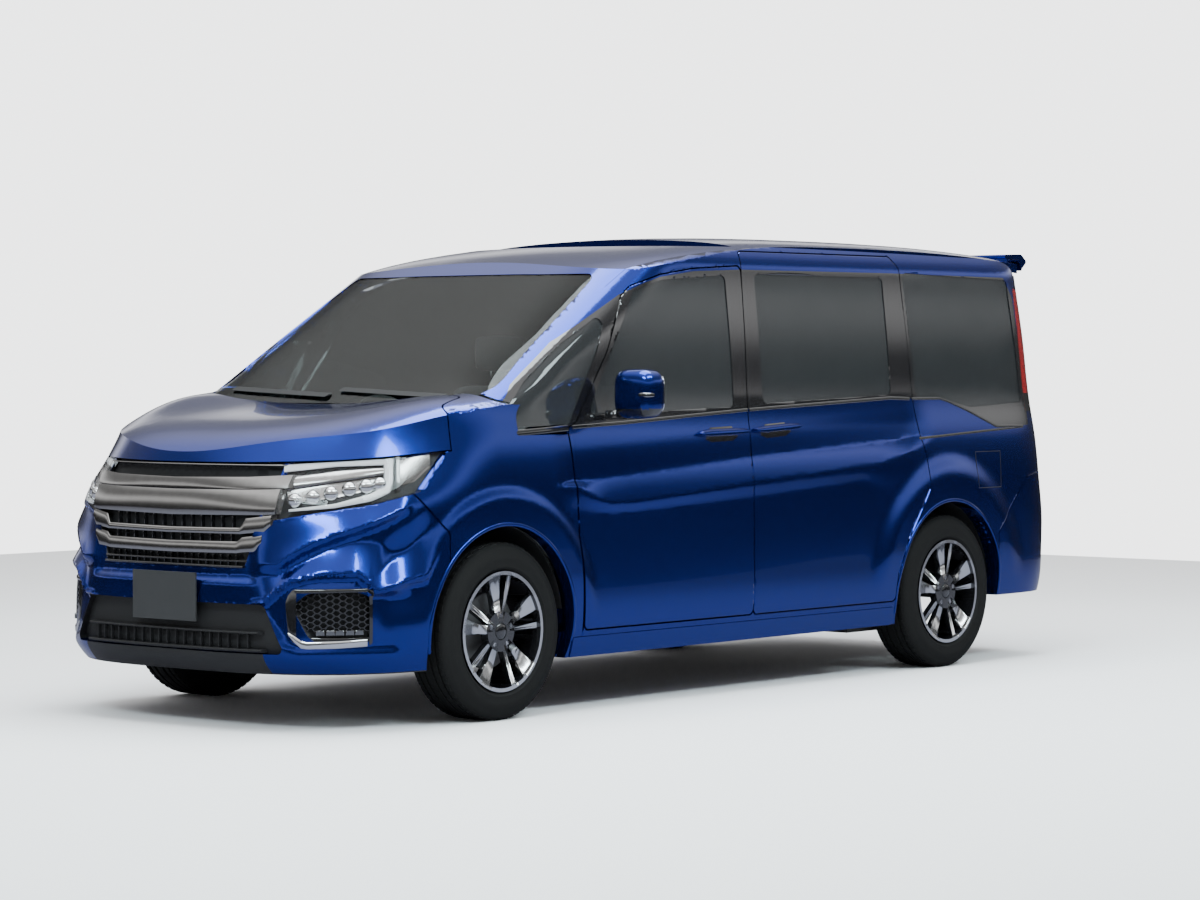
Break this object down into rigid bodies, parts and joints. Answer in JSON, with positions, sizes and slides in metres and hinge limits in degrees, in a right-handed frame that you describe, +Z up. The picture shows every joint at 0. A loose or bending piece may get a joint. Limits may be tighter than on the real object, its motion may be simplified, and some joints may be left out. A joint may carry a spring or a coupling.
{
  "type": "minivan",
  "caption": "Boxy family minivan with hinged front doors, bonnet and tailgate, fixed sliding doors, steered front wheels and a seated cabin.",
  "frame": {"origin": "on the ground, at the centre of the car's outline seen from above", "axes": "+X forward, +Y to the car's left, +Z up"},
  "size_m": [4.7599, 2.127, 1.8403],
  "materials": {
    "paint": "metallic blue clear-coated paint",
    "dark_glass": "dark tinted glass",
    "clear_glass": "lightly tinted glass",
    "red_lens": "clear red lens",
    "lamp_lens": "clear lamp lens over chrome",
    "smoked_chrome": "smoked chrome",
    "black_plastic": "grained black plastic",
    "plate": "blank dark plate",
    "tyre_rubber": "tyre rubber",
    "rim_alloy": "gloss black with machined faces",
    "cast_metal": "bare casting",
    "chassis_steel": "black chassis coating",
    "seat_cloth": "dark woven cloth",
    "soft_trim": "soft-touch grained trim"
  },
  "bodies": {
    "body": {"body_side_left": "paint", "body_side_right": "paint", "cowl_panel": "black_plastic", "dashboard": "soft_trim", "engine": "cast_metal", "exhaust": "chassis_steel", "fender_left": "paint", "fender_right": "paint", "floor_pan": "chassis_steel", "front_bumper": "paint", "front_plate": "plate", "front_rails": "chassis_steel", "front_seats": "seat_cloth", "front_subframe": "chassis_steel", "fuel_tank": "chassis_steel", "grille": "smoked_chrome", "headlamps": "lamp_lens", "lower_grilles": "black_plastic", "middle_seats": "seat_cloth", "radiator": "black_plastic", "rear_axle": "chassis_steel", "rear_bumper": "paint", "rear_seats": "seat_cloth", "roof": "paint", "side_glass_left": "dark_glass", "side_glass_right": "dark_glass", "side_skirts": "paint", "slide_door_left": "paint", "slide_door_right": "paint", "struts": "chassis_steel", "tail_lamps": "red_lens", "wheelhouses": "black_plastic", "windscreen": "clear_glass", "wipers": "black_plastic"},
    "bonnet": {"bonnet": "paint"},
    "tailgate": {"tailgate": "paint", "tailgate_glass": "dark_glass", "rear_spoiler": "paint"},
    "front_door_left": {"front_door_left": "paint", "front_door_glass_left": "dark_glass", "mirror_left": "paint"},
    "front_door_right": {"front_door_right": "paint", "front_door_glass_right": "dark_glass", "mirror_right": "paint"},
    "steering_wheel": {"steering_wheel": "soft_trim"},
    "knuckle_left": {"knuckle_left": "cast_metal"},
    "knuckle_right": {"knuckle_right": "cast_metal"},
    "wheel_front_left": {"tyre_front_left": "tyre_rubber", "rim_front_left": "rim_alloy"},
    "wheel_front_right": {"tyre_front_right": "tyre_rubber", "rim_front_right": "rim_alloy"},
    "wheel_rear_left": {"tyre_rear_left": "tyre_rubber", "rim_rear_left": "rim_alloy"},
    "wheel_rear_right": {"tyre_rear_right": "tyre_rubber", "rim_rear_right": "rim_alloy"}
  },
  "joints": [
    {"name": "bonnet_hinge", "type": "hinge", "parent": "body", "child": "bonnet", "pos_m": [1.625, 0, 1.165], "axis": [0, -1, 0], "range_deg": [0, 50]},
    {"name": "tailgate_hinge", "type": "hinge", "parent": "body", "child": "tailgate", "pos_m": [-2.15, 0, 1.802], "axis": [0, 1, 0], "range_deg": [0, 80]},
    {"name": "front_door_left_hinge", "type": "hinge", "parent": "body", "child": "front_door_left", "pos_m": [1.045, 0.845, 0.7], "axis": [0, 0, -1], "range_deg": [0, 68]},
    {"name": "front_door_right_hinge", "type": "hinge", "parent": "body", "child": "front_door_right", "pos_m": [1.045, -0.845, 0.7], "axis": [0, 0, 1], "range_deg": [0, 68]},
    {"name": "steer_left", "type": "hinge", "parent": "body", "child": "knuckle_left", "pos_m": [1.47, 0.668, 0.327], "axis": [0, 0, 1], "range_deg": [-32, 32]},
    {"name": "steer_right", "type": "hinge", "parent": "body", "child": "knuckle_right", "pos_m": [1.47, -0.668, 0.327], "axis": [0, 0, 1], "range_deg": [-32, 32]},
    {"name": "steering_wheel_turn", "type": "hinge", "parent": "body", "child": "steering_wheel", "pos_m": [0.79, -0.37, 1], "axis": [-0.9135, 0, 0.4067], "range_deg": [-480, 480]},
    {"name": "wheel_front_left_spin", "type": "hinge", "parent": "knuckle_left", "child": "wheel_front_left", "pos_m": [1.47, 0.735, 0.327], "axis": [0, 1, 0], "continuous": true},
    {"name": "wheel_front_right_spin", "type": "hinge", "parent": "knuckle_right", "child": "wheel_front_right", "pos_m": [1.47, -0.735, 0.327], "axis": [0, 1, 0], "continuous": true},
    {"name": "wheel_rear_left_spin", "type": "hinge", "parent": "body", "child": "wheel_rear_left", "pos_m": [-1.42, 0.735, 0.327], "axis": [0, 1, 0], "continuous": true},
    {"name": "wheel_rear_right_spin", "type": "hinge", "parent": "body", "child": "wheel_rear_right", "pos_m": [-1.42, -0.735, 0.327], "axis": [0, 1, 0], "continuous": true}
  ],
  "couplings": [
    {"joint": "steer_right", "follows": "steer_left", "ratio": 1},
    {"joint": "steering_wheel_turn", "follows": "steer_left", "ratio": 15}
  ]
}
